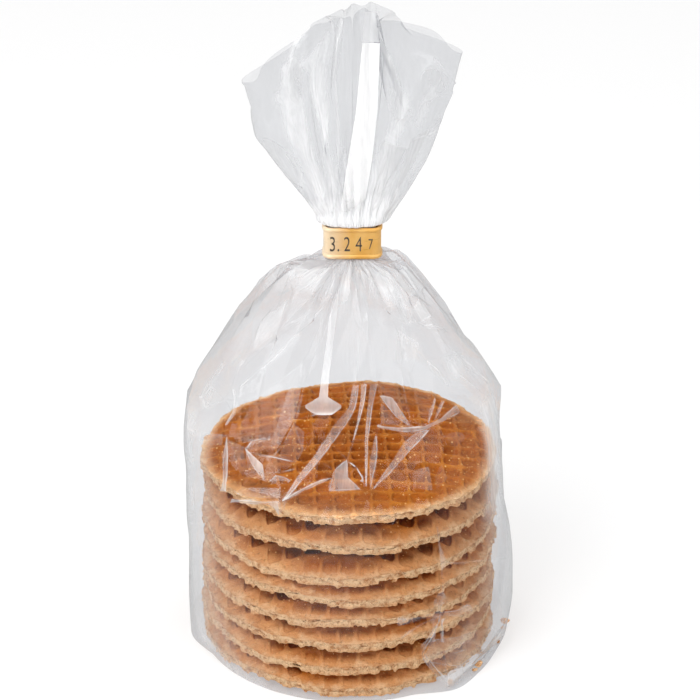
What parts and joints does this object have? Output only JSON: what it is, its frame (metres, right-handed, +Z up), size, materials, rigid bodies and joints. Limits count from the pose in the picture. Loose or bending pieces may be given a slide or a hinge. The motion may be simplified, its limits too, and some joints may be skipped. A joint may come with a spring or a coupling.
{
  "type": "bag of stroopwafels",
  "caption": "Clear film bag holding a stack of round caramel waffles, gathered at the neck, shut by a gold clip band and fanned out above it.",
  "frame": {"origin": "middle of the pack's box, at the flat underside that it stands on", "axes": "+Z up along the stack, from the base to the open mouth; the front faces -Y; +X to the right seen from the front"},
  "size_m": [0.1076, 0.0978, 0.2204],
  "materials": {
    "clear_film": "crisp clear film with bright creases",
    "gold_band": "satin gold-coloured strip with two wires in it",
    "waffle_biscuit": "baked waffle with a square grid, lighter and crumbly at its cut rim",
    "caramel_syrup": "dark sticky syrup",
    "ink": "dark printed digits"
  },
  "bodies": {
    "root": {"bag": "clear_film", "clip_band": "gold_band"}
  },
  "joints": []
}
